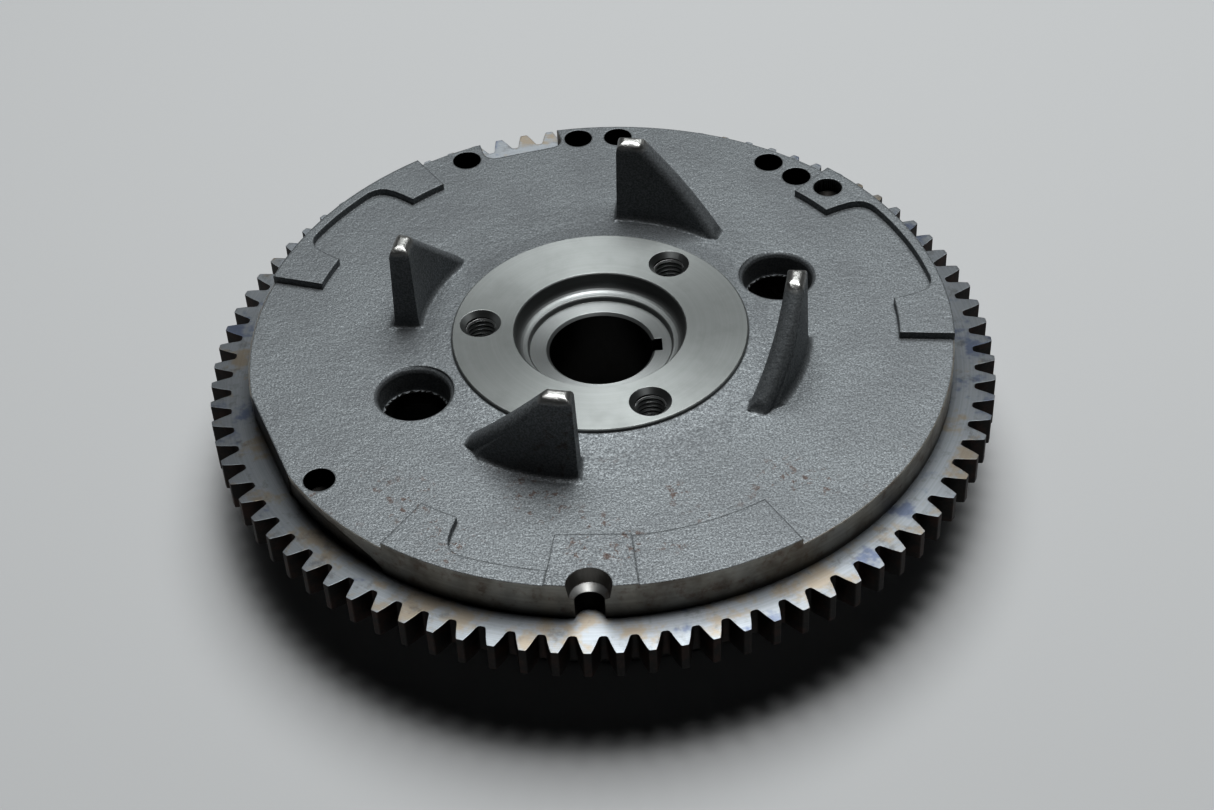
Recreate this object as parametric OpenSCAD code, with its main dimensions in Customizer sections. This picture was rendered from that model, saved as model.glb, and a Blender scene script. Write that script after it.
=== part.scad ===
// Small engine flywheel: an iron casting with a starter ring gear and a magnet ring under its web.
// Millimetres. The origin is on the crank axis, in the plane of the cast face.
// +Z points out of the finned face.

/* [Rim and web] */
// radius of the machined rim
rim_r = 82.2; // [60:0.1:120]
// height of the rim wall above the ring gear
rim_h = 7.6; // [4:0.1:15]
// radius of the shoulder the ring gear is pressed on
seat_r = 79; // [50:0.1:115]
// depth of the rim's underside below the cast face
rim_bottom = 15.6; // [10:0.1:30]
// depth of the web's underside below the cast face
web_t = 10; // [6:0.5:20]
// outer radius of the skirt round the magnets
skirt_r = 70; // [50:0.5:110]
// depth of the skirt's mouth below the cast face
skirt_depth = 37; // [25:0.5:60]
// inner radius of the skirt
skirt_in_r = 62.5; // [40:0.5:100]

/* [Hub] */
// radius of the machined hub face
hub_r = 34.75; // [20:0.05:50]
// height of the hub face above the cast face
hub_h = 1.6; // [0.5:0.1:5]
// radius of the recess in the hub face
recess_r = 20; // [12:0.1:30]
// depth of the rough ledge inside the recess below the cast face
ledge_depth = 3.1; // [1:0.1:6]
// radius of the nut seat
seat_nut_r = 16.8; // [10:0.1:25]
// depth of the nut seat below the cast face
nut_depth = 4.5; // [3:0.1:10]
// radius of the tapered bore at its small end
bore_r = 12.2; // [8:0.05:20]
// depth of the bore's small end below the cast face
bore_top = 5.2; // [3:0.1:12]
// depth of the hub boss below the cast face
boss_depth = 31; // [15:0.5:50]
// radius of the hub boss on the magnet side
boss_r = 22; // [16:0.5:35]
// length over which the tapered bore's diameter grows by one millimetre
taper_ratio = 5; // [3:1:12]
// width of the keyway
key_w = 4.1; // [2:0.1:8]
// depth of the keyway
key_d = 2.25; // [1:0.05:5]
// azimuth of the keyway
key_az = 0; // [0:1:360]

/* [Threaded holes] */
// radius of the circle the threaded holes lie on
thread_pcr = 28.2; // [15:0.1:32]
// pitch radius of a threaded hole, drawn as its plain wall
thread_r = 3.6; // [2:0.05:6]
// radius of the countersink at the hub face
sink_r = 4.85; // [3:0.05:8]
// azimuth of the first threaded hole
thread_az = 51.9; // [0:0.1:120]

/* [Cast through holes] */
// radius from the axis to each cast hole's centre
cast_pcr = 46.6; // [30:0.1:60]
// azimuth of the first cast hole
cast_az = 22; // [0:0.1:180]
// radius of the hole at the cast face
cast_mouth_r = 9.2; // [5:0.1:15]
// radius of the hole through the lower web
cast_hole_r = 7.2; // [4:0.1:12]
// depth of the narrow ledge inside the hole
cast_ledge = 6.2; // [3:0.1:9]

/* [Fins] */
// inner radius of the curved fins at their base
fin_in_r = 42.9; // [30:0.1:60]
// outer radius of the curved fins at their base
fin_out_r = 48.5; // [32:0.1:70]
// height of the tall end of a fin
fin_h = 22.4; // [8:0.1:40]
// azimuth of the low end of the first fin
fin_az0 = 49.5; // [0:0.1:90]
// azimuth of the tall end of the first fin
fin_az1 = 82.4; // [10:0.1:120]
// amount each side of a fin leans in over its height
fin_draft = 0.5; // [0:0.1:2]
// radius of the cast fillet at a fin's foot
fin_fillet = 1.8; // [0.5:0.1:4]

/* [Rim pads] */
// height of the raised rim pads
pad_h = 1.8; // [0.5:0.1:4]
// inner radius of the thin band of the two plain pads
band_r = 79.9; // [60:0.1:120]
// inner radius of the wide lugs of the two plain pads
lug_r = 69.6; // [50:0.1:110]
// inner radius of the thin band of the notched pad
front_band_r = 77.7; // [60:0.1:120]
// inner radius of the wide lugs of the notched pad
front_lug_r = 67.9; // [50:0.1:110]
// extra height of the lug that carries the notch
notch_lug_h = 0.35; // [0:0.05:2]

/* [Rim holes and cuts] */
// radius of a balance drilling
drill_r = 3.55; // [1:0.05:6]
// depth of a deep balance drilling, without its point
drill_depth = 5.4; // [2:0.1:7]
// radius of the rim notch's mouth
notch_r = 4.9; // [2:0.1:10]
// radius of the slot below the mouth
slot_r = 3.25; // [1:0.05:8]
// depth below the cast face at which the mouth starts to close in on the slot
notch_ledge = 1.5; // [0.5:0.1:6]
// azimuth of the notch
notch_az = 266.4; // [0:0.1:360]

/* [Ring gear] */
// number of teeth
teeth = 85; // [40:1:200]
// diametral pitch, in teeth per inch of pitch diameter
diametral_pitch = 12; // [6:1:24]
// pressure angle
pressure_angle = 20; // [14:0.5:25]
// thickness of the ring
ring_t = 7.3; // [4:0.1:15]
// azimuth of one gap between teeth
gap_az = 5.66; // [0:0.01:10]

/* [Magnet ring] */
// number of magnets
magnets = 6; // [4:2:12]
// angle covered by one magnet
magnet_arc = 50; // [20:1:80]
// inner radius of the magnets
magnet_in_r = 54.6; // [30:0.1:90]
// depth of the magnets' top below the cast face
magnet_top = 11; // [8:0.5:20]
// height of the magnets
magnet_h = 22.6; // [10:0.1:40]
// thickness of the steel shell over the magnets
shell_t = 0.6; // [0.3:0.05:2]
// width of the retaining ring's section along the axis
snap_w = 1; // [0.5:0.1:3]

/* [Hidden] */
$fn = 96;
over = 1;
edge = 0.3;
inch = 25.4;
m = inch / diametral_pitch;
pitch_r = teeth * m / 2;
tip_r = pitch_r + m;
root_r = pitch_r - 1.25 * m;
base_r = pitch_r * cos(pressure_angle);
bore_big_r = bore_r + (boss_depth - bore_top) / taper_ratio / 2;
hub_wall = 0.9;
swell_r = 50;
cove = 2.3;
boss_fillet = 4;
skirt_fillet = 3;
ceiling_r = magnet_in_r - 3;
snap_top = magnet_top + magnet_h + shell_t;
snap_groove_r = skirt_in_r + 1.3;
snap_in_r = skirt_in_r - 2;
snap_gap = 14;
fin_mid = (fin_az0 + fin_az1) / 2;
fin_mid_r = (fin_in_r + fin_out_r) / 2;
fin_half = fin_mid_r * sin((fin_az1 - fin_az0) / 2);
fin_round = 2.2;
ridge_start = [7.3 - fin_half, fin_h - 0.9];
ridge_end = [fin_half - 0.9, 3.2];
ridge_slope = atan2(ridge_start[1] - ridge_end[1], ridge_end[0] - ridge_start[0]);
ridge_r = fin_mid_r / cos(ridge_slope) ^ 2;
ridge_mid = ridge_start[1] + ridge_start[0] * tan(ridge_slope);
pad_step = 3;
reluctor_az = 86;
reluctor_arc = 16;
reluctor_h = 1.5;

// a point given by radius and azimuth
function pol(r, a) = [r * cos(a), r * sin(a)];

// points of a quarter round, centred on c, from angle a0 to angle a1
function round_pts(c, r, a0, a1, n) = [for (i = [0:n]) c + pol(r, a0 + (a1 - a0) * i / n)];

// the section of the whole casting on one side of the axis, each point being radius and height
function casting_section() = concat(
    [[bore_r, -bore_top], [bore_r + 0.65, -nut_depth], [seat_nut_r, -nut_depth]],
    [[seat_nut_r + 0.1, -ledge_depth - edge], [seat_nut_r + 0.1 + edge, -ledge_depth]],
    round_pts([recess_r - cove, -ledge_depth + cove], cove, -90, 0, 6),
    [[recess_r, hub_h - edge], [recess_r + edge, hub_h], [hub_r - edge, hub_h], [hub_r, hub_h - edge]],
    [[hub_r, hub_h - hub_wall], [hub_r + 5, 0.3], [swell_r, 0]],
    [[rim_r - edge, 0], [rim_r, -edge], [rim_r, -rim_h]],
    [[seat_r, -rim_h], [seat_r, -rim_bottom + edge], [seat_r - edge, -rim_bottom]],
    round_pts([skirt_r + skirt_fillet, -rim_bottom - skirt_fillet], skirt_fillet, 90, 180, 5),
    [[skirt_r, -skirt_depth + over], [skirt_r - over, -skirt_depth], [skirt_in_r + over, -skirt_depth]],
    [[skirt_in_r, -skirt_depth + over], [skirt_in_r, -snap_top - snap_w]],
    [[snap_groove_r, -snap_top - snap_w], [snap_groove_r, -snap_top], [skirt_in_r, -snap_top]],
    [[skirt_in_r, -magnet_top], [ceiling_r, -magnet_top], [ceiling_r - over, -web_t]],
    round_pts([boss_r + boss_fillet, -web_t - boss_fillet], boss_fillet, 90, 180, 5),
    [[boss_r, -boss_depth + over], [boss_r - over, -boss_depth]],
    [[bore_big_r + over, -boss_depth], [bore_big_r, -boss_depth + over / 2]]
);

// the keyway follows the slope of the tapered bore
module keyway() {
    top = bore_r + key_d;
    bottom = bore_big_r + key_d;
    rotate([0, 0, key_az])
        translate([0, key_w / 2, 0])
        rotate([90, 0, 0])
        linear_extrude(key_w)
        polygon([[0, -nut_depth + over], [top - over / taper_ratio / 2, -nut_depth + over],
            [bottom + over / taper_ratio / 2, -boss_depth - over], [0, -boss_depth - over]]);
}

// one threaded hole with its countersink
module threaded_hole() {
    translate([0, 0, -web_t - over])
        cylinder(h = web_t + hub_h + 2 * over, r = thread_r);
    translate([0, 0, hub_h - (sink_r - thread_r)])
        cylinder(h = sink_r - thread_r + edge, r1 = thread_r, r2 = sink_r + edge);
}

// one cast hole: a rounded mouth, a tapered wall, a ledge and a narrower hole
module cast_hole() {
    rotate_extrude()
        polygon([[0, -web_t - 2 * over], [cast_hole_r, -web_t - 2 * over], [cast_hole_r, -cast_ledge],
            [cast_hole_r + 0.7, -cast_ledge], [cast_mouth_r - 0.9, -1.2], [cast_mouth_r - 0.6, -0.5],
            [cast_mouth_r, 0], [cast_mouth_r + 0.3, 3], [0, 3]]);
}

// a drilling with a conical bottom, its mouth above the face
module drilling(depth, above) {
    rotate_extrude()
        polygon([[0, -depth - drill_r * tan(27)], [drill_r, -depth], [drill_r, above], [0, above]]);
}

// one fin, standing on the web with its tall end at the larger azimuth
module fin() {
    intersection() {
        fin_wall();
        rotate([0, 0, fin_mid - 90])
            fin_profile();
        rotate([0, 0, fin_mid - 90])
            fin_ridge();
        rotate([0, 0, fin_az1 - 90])
            fin_end();
    }
}

// the curved wall of a fin with its draft, its fillets and its rounded top
module fin_wall() {
    top = fin_h + 0.05;
    rotate([0, 0, fin_az0 - 2])
        rotate_extrude(angle = fin_az1 - fin_az0 + 4)
        polygon(concat(
            [[fin_in_r - fin_fillet, -over], [fin_out_r + fin_fillet, -over]],
            round_pts([fin_out_r + fin_fillet, fin_fillet], fin_fillet, 270, 180, 4),
            round_pts([fin_out_r - fin_draft - fin_round, top - fin_round], fin_round, 0, 90, 7),
            round_pts([fin_in_r + fin_draft + fin_round, top - fin_round], fin_round, 90, 180, 7),
            round_pts([fin_in_r - fin_fillet, fin_fillet], fin_fillet, 0, -90, 4)));
}

// the side view of a fin: a short level top, a straight slope and a low blunt toe
module fin_profile() {
    tall = -fin_half - 3;
    low = fin_half;
    translate([0, fin_mid_r + 10, 0])
        rotate([90, 0, 0])
        linear_extrude(20)
        polygon(concat(
            [[tall, -over], [tall, fin_h]],
            round_pts([ridge_start[0] - 3 * sin(ridge_slope), fin_h - 3], 3, 90, 90 - ridge_slope, 5),
            [ridge_end, [low - 0.4, 2.65], [low, 2.05], [low + 0.3, 1.45], [low + 0.65, 0.8], [low + 1.1, 0.3]],
            [[low + 1.7, 0], [low + 1.7, -over]]));
}

// the blunt tall end of a fin: a radial face with a fillet at its foot and a round at its top
module fin_end() {
    top = fin_h + 0.08;
    translate([0, fin_mid_r + 10, 0])
        rotate([90, 0, 0])
        linear_extrude(20)
        polygon(concat(
            [[-1.4, -over]],
            round_pts([-1.4, 1.4], 1.4, -90, 0, 5),
            round_pts([fin_draft + 2.5, top - 2.5], 2.5, 180, 90, 7),
            [[40, top], [40, -over]]));
}

// a curved bar that rounds the two long edges of a fin's slope
module fin_ridge() {
    wide = (fin_out_r - fin_in_r) / 2 - fin_draft / 2;
    translate([0, fin_mid_r - ridge_r, ridge_mid])
        rotate([0, ridge_slope, 0])
        rotate([0, 0, 90 - 14])
        rotate_extrude(angle = 28)
        polygon(concat(
            [[ridge_r - wide - 30, -fin_round - 30], [ridge_r + wide + 30, -fin_round - 30]],
            round_pts([ridge_r + wide - fin_round, -fin_round], fin_round, 0, 90, 7),
            round_pts([ridge_r - wide + fin_round, -fin_round], fin_round, 90, 180, 7)));
}

// how a pad's inner edge runs from a lug out to the thin band: degrees, then share of the way
pad_side = [[0, 0], [0.5, 0.35], [1, 0.6], [1.6, 0.78], [2.4, 0.9], [3.4, 0.97], [4.6, 1]];
band_start = pad_side[len(pad_side) - 1][0];

function side_out(r, band, a) = [for (t = pad_side) pol(r + t[1] * (band - r), a + t[0])];
function side_in(r, band, a) = [for (i = [len(pad_side) - 1:-1:0])
    pol(r + pad_side[i][1] * (band - r), a - pad_side[i][0])];

// points along an arc, short of its two ends
function arc_pts(r, a0, a1) = let (n = ceil(abs(a1 - a0) / pad_step))
    [for (i = [1:n - 1]) pol(r, a0 + (a1 - a0) * i / n)];

// a raised pad from azimuth a0 to a1: a lug up to b0, a thin band, and another lug from b1
module pad(r, band, a0, b0, b1, a1) {
    intersection() {
        translate([0, 0, -2 * edge])
            linear_extrude(pad_h + 2 * edge)
            polygon(concat(
                [pol(rim_r + 5, a1)], arc_pts(rim_r + 5, a1, a0), [pol(rim_r + 5, a0), pol(r, a0)],
                arc_pts(r, a0, b0), side_out(r, band, b0), arc_pts(band, b0 + band_start, b1 - band_start),
                side_in(r, band, b1), arc_pts(r, b1, a1), [pol(r, a1)]));
        pad_limit();
    }
}

// the machined rim's edge at the top of the pads
module pad_limit() {
    translate([0, 0, -over])
        cylinder(h = over + pad_h + notch_lug_h + over, r = rim_r);
}

// the flat-sided lug in the middle of the notched pad
module notch_lug() {
    inner = front_lug_r - 0.2;
    outer = rim_r + 5;
    start = 259.8;
    end = 273.7;
    intersection() {
        translate([0, 0, -2 * edge])
            linear_extrude(pad_h + notch_lug_h + 2 * edge)
            polygon([pol(inner, start), pol(outer, start), pol(outer, notch_az), pol(outer, end),
                pol(inner, end)]);
        pad_limit();
    }
}

// the half hole in the rim: a wide mouth whose floor slopes down to a slot set a little further out
module notch() {
    top = pad_h + notch_lug_h;
    floor_z = -notch_ledge - 0.9;
    mouth_in = 0.4;
    slot_out = 0.6;
    rotate([0, 0, notch_az])
        translate([rim_r - mouth_in, 0, 0])
        rotate_extrude()
        polygon([[0, floor_z], [slot_r - mouth_in - slot_out, floor_z], [notch_r - 0.6, -notch_ledge],
            [notch_r, top], [notch_r + 0.2, top + over], [0, top + over]]);
    rotate([0, 0, notch_az])
        translate([rim_r + slot_out, 0, -rim_h - over])
        cylinder(h = rim_h + over, r = slot_r);
}

// the pocket milled in the back of the rim, with rounded inner corners
module rim_pocket() {
    azimuth = 103.1;
    floor_r = 74.4;
    half = 10.3;
    corner = 3;
    rotate([0, 0, azimuth])
        translate([floor_r, 0, -rim_h]) {
            translate([0, -half + corner, 0])
                cube([20, 2 * half - 2 * corner, 20]);
            translate([corner, -half, 0])
                cube([20, 2 * half, 20]);
            for (s = [-1, 1])
                translate([corner, s * (half - corner), 0])
                    cylinder(h = 20, r = corner);
        }
}

// the flat milled on the side of the rim
module rim_flat() {
    azimuth = 201;
    flat_r = 80.7;
    rotate([0, 0, azimuth])
        translate([flat_r, -20, -rim_h - over])
        cube([10, 40, 20]);
}

// the recess milled under the lip of the rim, tapering out at one end
module rim_recess() {
    start = 209.7;
    sweep = 24;
    wall_r = rim_r - 1;
    intersection() {
        rotate([0, 0, start])
            rotate_extrude(angle = sweep)
            translate([wall_r, -rim_h - over])
            square([10, rim_h + over]);
        rotate([0, 0, start + sweep / 2 - 90])
            translate([0, rim_r + 10, 0])
            rotate([90, 0, 0])
            linear_extrude(30)
            polygon([[18, -rim_h - 2 * over], [18, -0.5], [9, -0.7], [-3.4, -1.5], [-6.3, -2.2], [-10, -3.1],
                [-13, -4.1], [-15.4, -5.5], [-16.3, -6.6], [-17, -rim_h - 2 * over]]);
    }
}

// balance drillings: radius from the axis, azimuth
drillings = [[77.3, 114.3], [77.4, 92.2], [77.4, 84.6], [77.2, 54.2], [76.2, 47.4], [77.1, 214.8]];

module casting() {
    color("DimGray")
    difference() {
        union() {
            rotate_extrude()
                polygon(casting_section());
            for (k = [0:3])
                rotate([0, 0, k * 90])
                    fin();
            pad(lug_r, band_r, -6.3, 3.9, 34.6, 43.6);
            pad(lug_r, band_r, 122.6, 130.4, 153.8, 162);
            pad(front_lug_r, front_band_r, 233.5, 241.2, 273.2, 299.4);
            notch_lug();
            reluctor();
        }
        keyway();
        for (k = [0:2])
            rotate([0, 0, thread_az + k * 120])
                translate([thread_pcr, 0, 0])
                threaded_hole();
        for (k = [0:1])
            rotate([0, 0, cast_az + k * 180])
                translate([cast_pcr, 0, 0])
                cast_hole();
        for (d = drillings)
            rotate([0, 0, d[1]])
                translate([d[0], 0, 0])
                drilling(drill_depth, over);
        rotate([0, 0, 39.6])
            translate([76.1, 0, pad_h])
            drilling(3.7, over);
        notch();
        rim_pocket();
        rim_flat();
        rim_recess();
    }
}

// the raised timing pad on the outside of the skirt
module reluctor() {
    rotate([0, 0, reluctor_az])
        rotate_extrude(angle = reluctor_arc)
        translate([skirt_r - over, -skirt_depth + 6])
        square([over + reluctor_h, 12]);
}

// the involute of an angle, in degrees
function inv(a) = tan(a) * 180 / PI - a;
// half the angle of a tooth at radius r
function half_tooth(r) = 90 / teeth - 0.03 + inv(pressure_angle) - inv(acos(base_r / r));
flank = [root_r + 0.8, root_r + 1.7, pitch_r, pitch_r + 1.1, tip_r - 0.15];
foot = half_tooth(root_r + 0.8);
gap = 180 / teeth - foot;

// the outline of one tooth: root, root fillet, flank, tip, and back down
function tooth(a) = concat(
    [pol(root_r, a - foot - gap * 0.62), pol(root_r + 0.2, a - foot - gap * 0.26)],
    [for (r = flank) pol(r, a - half_tooth(r))],
    [pol(tip_r, a - half_tooth(tip_r) + 0.08), pol(tip_r, a + half_tooth(tip_r) - 0.08)],
    [for (i = [len(flank) - 1:-1:0]) pol(flank[i], a + half_tooth(flank[i]))],
    [pol(root_r + 0.2, a + foot + gap * 0.26), pol(root_r, a + foot + gap * 0.62)]
);

module ring_gear() {
    color("SlateGray")
    difference() {
        translate([0, 0, -rim_h - ring_t])
            linear_extrude(ring_t)
            polygon([for (k = [0:teeth - 1]) each tooth(gap_az + (k + 0.5) * 360 / teeth)]);
        translate([0, 0, -rim_h - ring_t - over])
            cylinder(h = ring_t + 2 * over, r = seat_r);
    }
}

// one magnet of the ring, counted from zero
module magnet(k) {
    color("DarkSlateGray")
    rotate([0, 0, k * 360 / magnets - magnet_arc / 2])
        rotate_extrude(angle = magnet_arc)
        translate([magnet_in_r, -magnet_top - magnet_h])
        square([skirt_in_r - magnet_in_r, magnet_h]);
}

// one spacer between two magnets, counted from zero
module spacer(k) {
    arc = 360 / magnets - magnet_arc;
    color("Tan")
    rotate([0, 0, k * 360 / magnets + magnet_arc / 2])
        rotate_extrude(angle = arc)
        translate([magnet_in_r, -magnet_top - magnet_h])
        square([skirt_in_r - magnet_in_r, magnet_h]);
}

module magnet_1() {
    magnet(0);
}

module magnet_2() {
    magnet(1);
}

module magnet_3() {
    magnet(2);
}

module magnet_4() {
    magnet(3);
}

module magnet_5() {
    magnet(4);
}

module magnet_6() {
    magnet(5);
}

module spacer_1() {
    spacer(0);
}

module spacer_2() {
    spacer(1);
}

module spacer_3() {
    spacer(2);
}

module spacer_4() {
    spacer(3);
}

module spacer_5() {
    spacer(4);
}

module spacer_6() {
    spacer(5);
}

// the thin shell that lines the magnets, with a flange over their lower ends
module magnet_shell() {
    bottom = -magnet_top - magnet_h - shell_t;
    color("Silver")
    rotate_extrude()
        polygon([[magnet_in_r - shell_t, bottom], [skirt_in_r, bottom], [skirt_in_r, bottom + shell_t],
            [magnet_in_r, bottom + shell_t], [magnet_in_r, -magnet_top], [magnet_in_r - shell_t, -magnet_top]]);
}

// the open ring that snaps into the groove in the skirt
module retaining_ring() {
    color("LightSteelBlue")
    rotate([0, 0, snap_gap / 2])
        rotate_extrude(angle = 360 - snap_gap)
        translate([snap_in_r, -snap_top - snap_w])
        square([snap_groove_r - snap_in_r, snap_w]);
}

casting();
ring_gear();
magnet_1();
magnet_2();
magnet_3();
magnet_4();
magnet_5();
magnet_6();
spacer_1();
spacer_2();
spacer_3();
spacer_4();
spacer_5();
spacer_6();
magnet_shell();
retaining_ring();
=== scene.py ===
import math

import bpy
from mathutils import Matrix, Vector


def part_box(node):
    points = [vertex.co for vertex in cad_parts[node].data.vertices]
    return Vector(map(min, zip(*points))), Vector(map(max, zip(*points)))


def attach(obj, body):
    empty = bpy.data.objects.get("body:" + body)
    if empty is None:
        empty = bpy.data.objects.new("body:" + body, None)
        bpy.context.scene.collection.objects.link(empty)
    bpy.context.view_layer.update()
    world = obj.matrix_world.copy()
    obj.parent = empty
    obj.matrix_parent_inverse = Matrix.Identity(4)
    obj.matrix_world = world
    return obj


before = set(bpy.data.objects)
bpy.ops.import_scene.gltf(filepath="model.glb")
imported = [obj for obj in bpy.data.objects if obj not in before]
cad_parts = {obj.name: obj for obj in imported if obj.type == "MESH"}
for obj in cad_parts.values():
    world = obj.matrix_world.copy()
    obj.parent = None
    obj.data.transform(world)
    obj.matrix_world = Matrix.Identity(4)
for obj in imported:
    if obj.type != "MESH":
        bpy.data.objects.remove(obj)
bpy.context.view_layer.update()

MM = 0.001

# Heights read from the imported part, in metres
casting_low, casting_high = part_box("casting")
_, ring_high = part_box("ring_gear")
FLOOR_Z = casting_low.z
FIN_TOP = casting_high.z
RING_TOP = ring_high.z

# Sizes of the casting, in metres and degrees, that the materials and small pieces follow
RIM_R = 82.2 * MM
HUB_R = 34.75 * MM
HUB_TOP = 1.6 * MM
RECESS_R = 20.5 * MM
CAST_PCR = 46.6 * MM
CAST_AZ = 22
CAST_HOLE_R = 7.2 * MM
THREAD_PCR = 28.2 * MM
THREAD_R = 3.6 * MM
THREAD_PITCH = 1.25 * MM
THREAD_AZ = 51.9
SINK_REACH = 5.3 * MM
WEB_BOTTOM = -10 * MM
SKIRT_IN_R = 61 * MM
BORE_REACH = 16 * MM
NOTCH_AZ = 266.4
NOTCH_IN = 0.4 * MM
NOTCH_REACH = 5.2 * MM
NOTCH_TOP = 2.1 * MM
NOTCH_MOUTH_FOOT = -1.6 * MM
DRILLINGS_FROM_R = 73 * MM
CUTS_FROM_R = 80.95 * MM
POCKET_REACH = 11 * MM
POCKET_AZ = 103.1


# ---------------------------------------------------------------- node helpers

class Tree:
    """A new material and short ways to add and join its nodes."""

    def __init__(self, name):
        self.mat = bpy.data.materials.new(name)
        self.mat.use_nodes = True
        self.nodes = self.mat.node_tree.nodes
        self.links = self.mat.node_tree.links
        self.shader = self.nodes["Principled BSDF"]
        self.coords = self.nodes.new("ShaderNodeTexCoord").outputs["Object"]

    def put(self, value, socket):
        """Sets a socket to a number or colour, or joins an output to it."""
        if isinstance(value, bpy.types.NodeSocket):
            self.links.new(value, socket)
        elif isinstance(value, (tuple, list)) and len(value) == 3 and socket.type == "RGBA":
            socket.default_value = (*value, 1)
        else:
            socket.default_value = value

    def math(self, operation, a, b=0.0):
        node = self.nodes.new("ShaderNodeMath")
        node.operation = operation
        self.put(a, node.inputs[0])
        self.put(b, node.inputs[1])
        return node.outputs[0]

    def mix(self, share, a, b):
        node = self.nodes.new("ShaderNodeMix")
        node.data_type = "RGBA"
        self.put(share, node.inputs[0])
        self.put(a, node.inputs[6])
        self.put(b, node.inputs[7])
        return node.outputs[2]

    def blend(self, share, a, b):
        """A plain number between a and b."""
        node = self.nodes.new("ShaderNodeMix")
        self.put(share, node.inputs[0])
        self.put(a, node.inputs[2])
        self.put(b, node.inputs[3])
        return node.outputs[0]

    def ramp(self, value, low, high):
        """0 where value is at low, 1 where it is at high, smooth between."""
        node = self.nodes.new("ShaderNodeMapRange")
        node.interpolation_type = "SMOOTHSTEP"
        self.put(value, node.inputs[0])
        node.inputs[1].default_value = low
        node.inputs[2].default_value = high
        return node.outputs[0]

    def noise(self, size, detail=4.0, rough=0.55, stretch=None, offset=0.0):
        """A noise whose lumps are about size across, in metres."""
        node = self.nodes.new("ShaderNodeTexNoise")
        node.inputs["Scale"].default_value = 1 / size
        node.inputs["Detail"].default_value = detail
        node.inputs["Roughness"].default_value = rough
        self.links.new(self.placed(stretch, offset), node.inputs["Vector"])
        return node.outputs["Fac"]

    def cells(self, size, offset=0.0):
        """Distance to the nearest of scattered points that are about size apart."""
        node = self.nodes.new("ShaderNodeTexVoronoi")
        node.inputs["Scale"].default_value = 1 / size
        self.links.new(self.placed(None, offset), node.inputs["Vector"])
        return node.outputs["Distance"]

    def placed(self, stretch, offset):
        """The object's coordinates, shifted by offset and stretched."""
        if stretch is None and not offset:
            return self.coords
        node = self.nodes.new("ShaderNodeMapping")
        node.inputs["Location"].default_value = (offset, offset, offset)
        if stretch is not None:
            node.inputs["Scale"].default_value = stretch
        self.links.new(self.coords, node.inputs["Vector"])
        return node.outputs["Vector"]

    def split(self):
        node = self.nodes.new("ShaderNodeSeparateXYZ")
        self.links.new(self.coords, node.inputs[0])
        return node.outputs

    def radius(self):
        x, y, _ = self.split()
        return self.math("SQRT", self.math("ADD", self.math("MULTIPLY", x, x), self.math("MULTIPLY", y, y)))

    def polar(self):
        """Coordinates (azimuth, radius, height) for marks that run round the axis."""
        x, y, z = self.split()
        node = self.nodes.new("ShaderNodeCombineXYZ")
        self.links.new(self.math("ARCTAN2", y, x), node.inputs[0])
        self.links.new(self.radius(), node.inputs[1])
        self.links.new(z, node.inputs[2])
        return node.outputs[0]

    def rings(self, size, detail=2.0):
        """Fine lathe lines that run round the axis, about size apart."""
        node = self.nodes.new("ShaderNodeTexNoise")
        node.inputs["Scale"].default_value = 1 / size
        node.inputs["Detail"].default_value = detail
        scale = self.nodes.new("ShaderNodeMapping")
        scale.inputs["Scale"].default_value = (size * 0.4, 1, 1)
        self.links.new(self.polar(), scale.inputs["Vector"])
        self.links.new(scale.outputs["Vector"], node.inputs["Vector"])
        return node.outputs["Fac"]

    def bump(self, height, depth, normal=None):
        """A bump of the given depth in metres."""
        node = self.nodes.new("ShaderNodeBump")
        node.inputs["Distance"].default_value = depth
        self.put(height, node.inputs["Height"])
        if normal is not None:
            self.links.new(normal, node.inputs["Normal"])
        return node.outputs["Normal"]

    def soft_edges(self, radius):
        """Edges rounded in the shading, as real machined and cast edges are."""
        node = self.nodes.new("ShaderNodeBevel")
        node.samples = 6
        node.inputs["Radius"].default_value = radius
        return node.outputs["Normal"]

    def finish(self, color, rough, metallic, normal=None, anisotropic=0.0):
        s = self.shader.inputs
        self.put(color, s["Base Color"])
        self.put(rough, s["Roughness"])
        self.put(metallic, s["Metallic"])
        s["Anisotropic"].default_value = anisotropic
        if anisotropic:
            tangent = self.nodes.new("ShaderNodeTangent")
            tangent.direction_type = "RADIAL"
            tangent.axis = "Z"
            self.links.new(tangent.outputs[0], s["Tangent"])
            s["Anisotropic Rotation"].default_value = 0.25
        if normal is not None:
            self.links.new(normal, s["Normal"])
        return self.mat


# ---------------------------------------------------------------- materials

def scaled(color, factor):
    """A colour made brighter or darker by a factor."""
    return tuple(factor * part for part in color)


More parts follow.
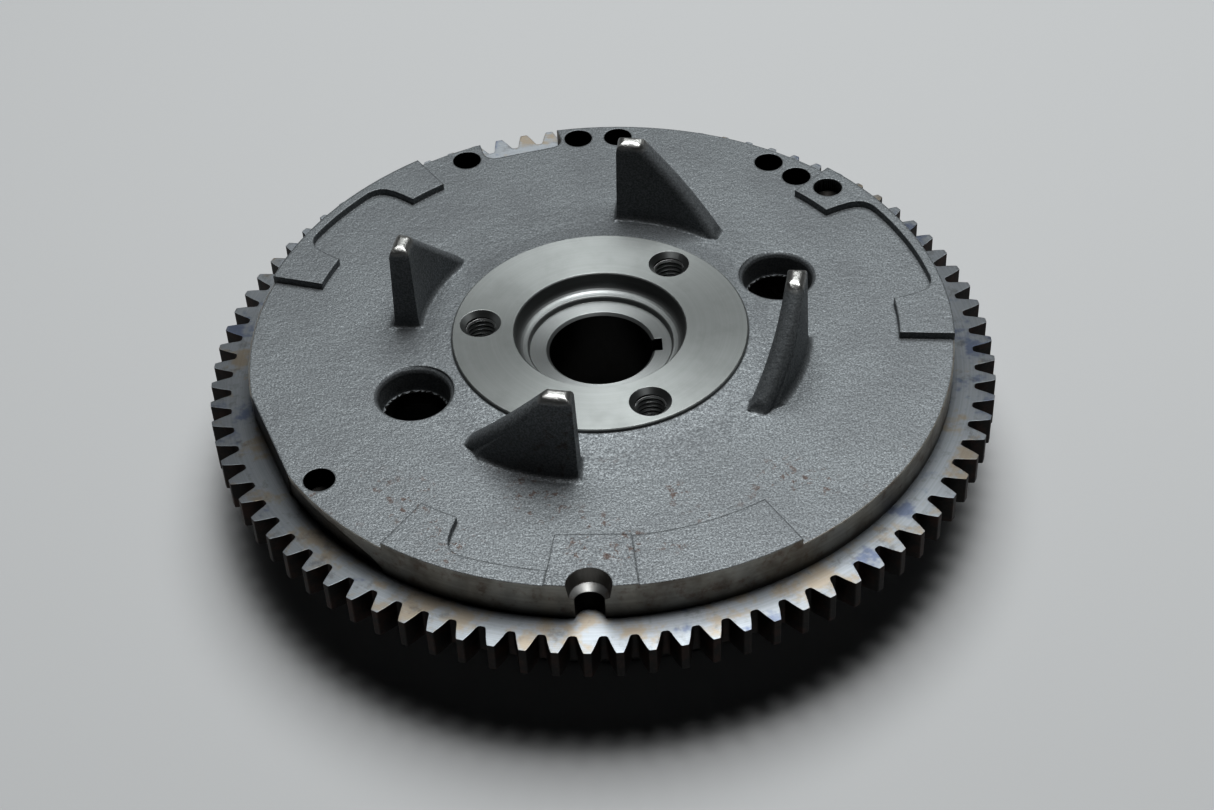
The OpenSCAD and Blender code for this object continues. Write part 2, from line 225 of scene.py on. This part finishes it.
def cast_iron():
    """Sand-cast skin: fine grained, mottled, a little rusty, and bright on the tips of the fins, partly
    from wear and partly a painted highlight.
    """
    t = Tree("cast_skin")
    _, y, z = t.split()
    grain = t.noise(0.45 * MM, 3, 0.65)
    pits = t.cells(1.1 * MM, offset=0.3)
    cloud = t.noise(16 * MM, 3, 0.6, offset=0.1)
    lumps = t.noise(1.9 * MM, 4, 0.65, offset=0.2)
    shade = t.ramp(grain, 0.34, 0.68)
    color = t.mix(shade, (0.142, 0.153, 0.161), (0.276, 0.293, 0.303))
    color = t.mix(t.math("MULTIPLY", t.ramp(cloud, 0.35, 0.7), 0.3), color, (0.13, 0.136, 0.144))
    near = t.ramp(y, -38 * MM, -52 * MM)
    specks = t.math("MULTIPLY", t.ramp(t.noise(2.2 * MM, 4, 0.7, offset=0.7), 0.55, 0.64), near)
    specks = t.math("MULTIPLY", specks, t.ramp(t.noise(13 * MM, 1, 0.5, offset=0.9), 0.46, 0.58))
    color = t.mix(t.math("MULTIPLY", specks, 0.75), color, (0.095, 0.058, 0.045))
    # The fin tips are painted bright: partly real wear, partly a painted highlight.
    worn_and_highlight = t.ramp(t.math("ADD", z, t.math("MULTIPLY", t.math("SUBTRACT", lumps, 0.5), 2 * MM)),
                  FIN_TOP - 2.0 * MM, FIN_TOP - 0.7 * MM)
    color = t.mix(worn_and_highlight, color, (0.42, 0.42, 0.41))
    rough = t.blend(worn_and_highlight, t.blend(shade, 0.60, 0.40), 0.42)
    metal = t.blend(worn_and_highlight, 0.5, 1.0)
    normal = t.soft_edges(0.7 * MM)
    normal = t.bump(lumps, 0.14 * MM, normal)
    normal = t.bump(t.math("SUBTRACT", grain, t.math("MULTIPLY", pits, 0.5)), 0.075 * MM, normal)
    return t.finish(color, rough, metal, normal)


def turned(name, bright, rough, stain=0.0, anisotropic=0.62):
    """A face cut on the lathe: fine rings, and reflections drawn out across them."""
    t = Tree(name)
    rings = t.rings(0.35 * MM)
    cloud = t.noise(9 * MM, 4, 0.6)
    color = t.mix(rings, scaled(bright, 0.86), bright)
    color = t.mix(t.math("MULTIPLY", t.ramp(cloud, 0.45, 0.75), 0.25), color, scaled(bright, 0.6))
    if stain:
        mark = t.math("MULTIPLY", t.ramp(t.noise(5 * MM, 4, 0.65, offset=0.4), 0.48, 0.66), stain)
        color = t.mix(mark, color, (0.15, 0.095, 0.06))
    normal = t.bump(rings, 0.006 * MM, t.soft_edges(0.25 * MM))
    return t.finish(color, t.blend(cloud, rough - 0.05, rough + 0.08), 0.92, normal, anisotropic)


def rim_wall():
    """The turned side of the rim: dull, brownish, with light rust in bands, and painted shade at its foot
    next to the ring.
    """
    t = Tree("rim_wall")
    _, _, z = t.split()
    rings = t.rings(0.5 * MM)
    cloud = t.noise(11 * MM, 4, 0.65)
    rust = t.ramp(t.noise(3.5 * MM, 5, 0.7, offset=0.6), 0.50, 0.70)
    color = t.mix(rings, (0.38, 0.37, 0.34), (0.54, 0.53, 0.49))
    color = t.mix(t.math("MULTIPLY", t.ramp(cloud, 0.4, 0.7), 0.5), color, (0.13, 0.095, 0.065))
    color = t.mix(t.math("MULTIPLY", rust, 0.45), color, (0.15, 0.07, 0.035))
    # Painted shade: the foot of the wall, where it meets the ring, is darkened towards black.
    low = t.ramp(z, RING_TOP + 3 * MM, RING_TOP)
    color = t.mix(t.math("MULTIPLY", low, 0.7), color, (0.03, 0.026, 0.022))
    normal = t.bump(rings, 0.012 * MM, t.soft_edges(0.3 * MM))
    return t.finish(color, t.blend(cloud, 0.35, 0.55), 0.75, normal, anisotropic=0.4)


def milled(name, bright=1.0):
    """A cut by a mill or a drill: streaky, and dull where it is old; a bright factor below 1 darkens it as
    painted shade.
    """
    t = Tree(name)
    streak = t.noise(0.8 * MM, 3, 0.6, stretch=(1, 1, 0.25))
    cloud = t.noise(6 * MM, 3, 0.6)
    color = t.mix(streak, scaled((0.20, 0.19, 0.175), bright), scaled((0.36, 0.35, 0.33), bright))
    stains = t.math("MULTIPLY", t.ramp(cloud, 0.45, 0.7), 0.5)
    color = t.mix(stains, color, scaled((0.15, 0.11, 0.08), bright))
    normal = t.bump(streak, 0.02 * MM, t.soft_edges(0.2 * MM))
    return t.finish(color, 0.42, 0.85, normal)


def ring_face():
    """The ground faces of the ring: fine scratches, and straw to blue heat tints in patches."""
    t = Tree("ring_face")
    rings = t.rings(0.25 * MM, 3)
    heat = t.noise(11 * MM, 4, 0.65, offset=0.5)
    fine = t.noise(4 * MM, 4, 0.65, offset=0.2)
    color = t.mix(rings, (0.20, 0.212, 0.224), (0.30, 0.317, 0.335))
    color = t.mix(t.math("MULTIPLY", t.ramp(heat, 0.52, 0.64), 0.55), color, (0.25, 0.19, 0.115))
    color = t.mix(t.math("MULTIPLY", t.ramp(heat, 0.45, 0.34), 0.65), color, (0.085, 0.11, 0.185))
    color = t.mix(t.math("MULTIPLY", t.ramp(fine, 0.52, 0.72), 0.45), color, (0.08, 0.077, 0.074))
    normal = t.bump(rings, 0.004 * MM, t.soft_edges(0.2 * MM))
    return t.finish(color, t.blend(fine, 0.34, 0.48), 0.95, normal, anisotropic=0.62)


def tooth_flank_painted_shade():
    """The sides of the teeth: a near-black base colour that is painted shade, with a little red rust."""
    t = Tree("tooth_flank_painted_shade")
    cloud = t.noise(4 * MM, 4, 0.65)
    fine = t.noise(0.7 * MM, 3, 0.6)
    color = t.mix(t.ramp(cloud, 0.42, 0.68), (0.011, 0.010, 0.009), (0.042, 0.019, 0.013))
    color = t.mix(t.math("MULTIPLY", t.ramp(fine, 0.5, 0.75), 0.3), color, (0.06, 0.05, 0.045))
    normal = t.bump(fine, 0.02 * MM, t.soft_edges(0.2 * MM))
    return t.finish(color, 0.5, 0.55, normal)


def ceramic():
    """Dark ceramic magnet, ground smooth."""
    t = Tree("magnet_ceramic")
    fine = t.noise(0.8 * MM, 3, 0.6)
    cloud = t.noise(8 * MM, 3, 0.6)
    color = t.mix(fine, (0.045, 0.046, 0.05), (0.075, 0.076, 0.08))
    color = t.mix(t.math("MULTIPLY", t.ramp(cloud, 0.45, 0.7), 0.4), color, (0.03, 0.028, 0.027))
    return t.finish(color, 0.48, 0.1, t.bump(fine, 0.02 * MM, t.soft_edges(0.3 * MM)))


def resin():
    """Brown-black potting resin between the magnets."""
    t = Tree("spacer_resin")
    cloud = t.noise(5 * MM, 4, 0.6)
    color = t.mix(cloud, (0.035, 0.026, 0.02), (0.075, 0.055, 0.04))
    return t.finish(color, 0.35, 0.0, t.bump(cloud, 0.08 * MM, t.soft_edges(0.4 * MM)))


def sheet_steel():
    """Thin drawn stainless sheet."""
    t = Tree("shell_sheet")
    rings = t.rings(0.4 * MM)
    cloud = t.noise(12 * MM, 3, 0.6)
    color = t.mix(t.ramp(cloud, 0.4, 0.7), (0.50, 0.50, 0.50), (0.60, 0.60, 0.60))
    normal = t.bump(rings, 0.004 * MM, t.soft_edges(0.2 * MM))
    return t.finish(color, t.blend(rings, 0.22, 0.36), 1.0, normal)


def spring_steel():
    """Blued spring steel."""
    t = Tree("snap_ring_steel")
    fine = t.noise(1.2 * MM, 3, 0.6)
    color = t.mix(fine, (0.06, 0.065, 0.08), (0.12, 0.125, 0.14))
    return t.finish(color, 0.34, 0.9, t.bump(fine, 0.01 * MM, t.soft_edges(0.15 * MM)))


# ---------------------------------------------------------------- which finish goes where

def paint(node, materials, choose):
    """Gives each face of a CAD node the material that choose(centre, normal) names."""
    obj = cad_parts[node]
    obj.data.materials.clear()
    names = list(materials)
    for name in names:
        obj.data.materials.append(materials[name])
    for face in obj.data.polygons:
        face.material_index = names.index(choose(face.center, face.normal))


def on_circle(radius, azimuth):
    """The point at an azimuth in degrees on a circle round the axis."""
    a = math.radians(azimuth)
    return Vector((radius * math.cos(a), radius * math.sin(a)))


def in_tapped_hole(p):
    """Whether a point is in one of the tapped holes, countersink and all."""
    return p.z < HUB_TOP - 0.05 * MM and any(
        (p.xy - on_circle(THREAD_PCR, THREAD_AZ + 120 * k)).length < SINK_REACH for k in range(3))


def in_cast_hole(p):
    """Whether a point is on the narrow lower part of a cast hole."""
    return p.z > WEB_BOTTOM - 0.1 * MM and any(
        (p.xy - on_circle(CAST_PCR, CAST_AZ + turn)).length < CAST_HOLE_R + 0.4 * MM for turn in (0, 180))


def casting_region(p, n):
    """The finish of a face of the casting, from its centre and normal."""
    r = p.xy.length
    steep = abs(n.z) < 0.7
    if r < RECESS_R:
        # Painted shade: the deep bore wall gets the near-black milled finish.
        if p.z < -5 * MM and steep:
            return "taper_painted_shade"
        return "bore" if p.z > -6 * MM else "turned"
    # Inside the tapped holes, below the countersink, the finish is near black: painted shade.
    if in_tapped_hole(p):
        return "bore" if p.z > 0.3 * MM else "drilled_painted_shade"
    if r < HUB_R + 0.05 * MM and p.z > 0:
        return "hub"
    # The lower part of the cast holes is near black: painted shade.
    if in_cast_hole(p):
        return "drilled_painted_shade"
    if p.z < RING_TOP - 0.1 * MM:
        return "turned" if r > SKIRT_IN_R or r < BORE_REACH else "cast"
    faces_outward = abs(n.xy.normalized().dot(p.xy.normalized())) > 0.99
    if r > RIM_R - 0.4 * MM and (steep or p.z < 0) and faces_outward:
        return "rim"
    # In the notch, the slot below the mouth is near black: painted shade.
    if (p.xy - on_circle(RIM_R - NOTCH_IN, NOTCH_AZ)).length < NOTCH_REACH and p.z < NOTCH_TOP:
        if not steep:
            return "turned"
        return "milled" if p.z > NOTCH_MOUTH_FOOT else "drilled_painted_shade"
    # Drillings and the rim cut inside CUTS_FROM_R are near black: painted shade.
    if r > DRILLINGS_FROM_R and p.z < -0.02 * MM:
        in_pocket = (p.xy - on_circle(r, POCKET_AZ)).length < POCKET_REACH
        return "milled" if in_pocket or r > CUTS_FROM_R else "drilled_painted_shade"
    return "cast"


HUB_STEEL = (0.275, 0.287, 0.284)
paint("casting", {
    "cast": cast_iron(),
    "hub": turned("hub_face", HUB_STEEL, 0.47, anisotropic=0.52),
    "bore": turned("hub_bore", (0.27, 0.28, 0.28), 0.40),
    "turned": turned("turned_outside", (0.30, 0.30, 0.295), 0.42, stain=0.4),
    "rim": rim_wall(),
    "milled": milled("milled"),
    # The last two finishes are the milled cut made near black: painted shade.
    "drilled_painted_shade": milled("drilled_painted_shade", 0.04),
    "taper_painted_shade": milled("taper_painted_shade", 0.05),
}, casting_region)

# The tooth sides get the near-black flank colour, which is painted shade.
paint("ring_gear", {"face": ring_face(), "flank": tooth_flank_painted_shade()},
      lambda p, n: "face" if abs(n.z) > 0.9 or p.xy.length < RIM_R else "flank")

magnet_material, spacer_material = ceramic(), resin()
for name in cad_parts:
    if name.startswith("magnet_") and name != "magnet_shell":
        paint(name, {"magnet": magnet_material}, lambda p, n: "magnet")
    if name.startswith("spacer_"):
        paint(name, {"spacer": spacer_material}, lambda p, n: "spacer")
paint("magnet_shell", {"shell": sheet_steel()}, lambda p, n: "shell")
paint("retaining_ring", {"ring": spring_steel()}, lambda p, n: "ring")


# ---------------------------------------------------------------- threads in the tapped holes

def thread(name, centre, top, bottom):
    """A helical ridge on the wall of a tapped hole."""
    steps = 40
    turns = (top - bottom) / THREAD_PITCH
    outer = THREAD_R + 0.05 * MM
    inner = THREAD_R - 0.34 * MM
    half_foot, half_crest = 0.56 * MM, 0.10 * MM
    section = [(outer, -half_foot), (inner, -half_crest), (inner, half_crest), (outer, half_foot)]
    verts, faces = [], []
    count = int(turns * steps)
    for i in range(count + 1):
        angle = 2 * math.pi * i / steps
        z = top - THREAD_PITCH * i / steps
        for r, dz in section:
            verts.append((centre.x + r * math.cos(angle), centre.y + r * math.sin(angle), z + dz))
    size = len(section)
    for i in range(count):
        for j in range(size):
            a, b = i * size + j, i * size + (j + 1) % size
            faces.append((a, b, b + size, a + size))
    faces.append(tuple(range(size - 1, -1, -1)))
    faces.append(tuple(count * size + j for j in range(size)))
    mesh = bpy.data.meshes.new(name)
    mesh.from_pydata(verts, [], faces)
    mesh.validate()
    mesh.update()
    obj = bpy.data.objects.new(name, mesh)
    bpy.context.scene.collection.objects.link(obj)
    return obj


thread_material = turned("thread_steel", (0.62, 0.63, 0.63), 0.34, anisotropic=0.0)
for k in range(3):
    centre = on_circle(THREAD_PCR, THREAD_AZ + 120 * k)
    ridge = thread(f"thread_{k + 1}", centre, -0.2 * MM, WEB_BOTTOM + 0.7 * MM)
    ridge.data.materials.append(thread_material)
    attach(ridge, "root")


# ---------------------------------------------------------------- floor, light and camera

def floor():
    """A plain pale floor under the part."""
    size = 3.0
    mesh = bpy.data.meshes.new("floor")
    corners = [(x * size, y * size, FLOOR_Z) for x, y in ((-1, -1), (1, -1), (1, 1), (-1, 1))]
    mesh.from_pydata(corners, [], [(0, 1, 2, 3)])
    obj = bpy.data.objects.new("floor", mesh)
    bpy.context.scene.collection.objects.link(obj)
    t = Tree("floor")
    obj.data.materials.append(t.finish((0.50, 0.505, 0.51), 0.85, 0.0))


def area_light(name, place, size, power, color):
    """A round light that is aimed at the part."""
    data = bpy.data.lights.new(name, "AREA")
    data.shape = "DISK"
    data.size = size
    data.energy = power
    data.color = color
    obj = bpy.data.objects.new(name, data)
    obj.location = place
    obj.rotation_euler = (-Vector(place)).to_track_quat("-Z", "Y").to_euler()
    bpy.context.scene.collection.objects.link(obj)


floor()
area_light("window", (0.10, 0.42, 1.20), 1.05, 15, (0.98, 1.0, 1.0))
area_light("overhead", (0.10, 0.10, 1.30), 0.35, 6, (1.0, 1.0, 1.0))
world = bpy.data.worlds.new("world")
world.use_nodes = True
world.node_tree.nodes["Background"].inputs[0].default_value = (0.80, 0.88, 1.0, 1)
world.node_tree.nodes["Background"].inputs[1].default_value = 0.003
bpy.context.scene.world = world

# The camera looks down at the flywheel from the front, rolled a little
CAMERA_PLACE = Vector((0.0007, -0.3949, 0.3421))
CAMERA_ELEVATION = math.radians(42.76)
CAMERA_ROLL = math.radians(3.146)
se, ce = math.sin(CAMERA_ELEVATION), math.cos(CAMERA_ELEVATION)
sr, cr = math.sin(CAMERA_ROLL), math.cos(CAMERA_ROLL)
level_right, level_up, back = Vector((1, 0, 0)), Vector((0, se, ce)), Vector((0, -ce, se))
right = level_right * cr - level_up * sr
up = level_right * sr + level_up * cr
camera_data = bpy.data.cameras.new("camera")
camera_data.sensor_width = 36
camera_data.lens = 66.17
camera_data.clip_start = 0.01
camera = bpy.data.objects.new("camera", camera_data)
camera.matrix_world = Matrix((
    (right.x, up.x, back.x, CAMERA_PLACE.x),
    (right.y, up.y, back.y, CAMERA_PLACE.y),
    (right.z, up.z, back.z, CAMERA_PLACE.z),
    (0, 0, 0, 1)))
bpy.context.scene.collection.objects.link(camera)
bpy.context.scene.camera = camera
bpy.context.scene.view_settings.view_transform = "Standard"
bpy.context.scene.view_settings.gamma = 0.75
bpy.context.scene.view_settings.exposure = 0.2
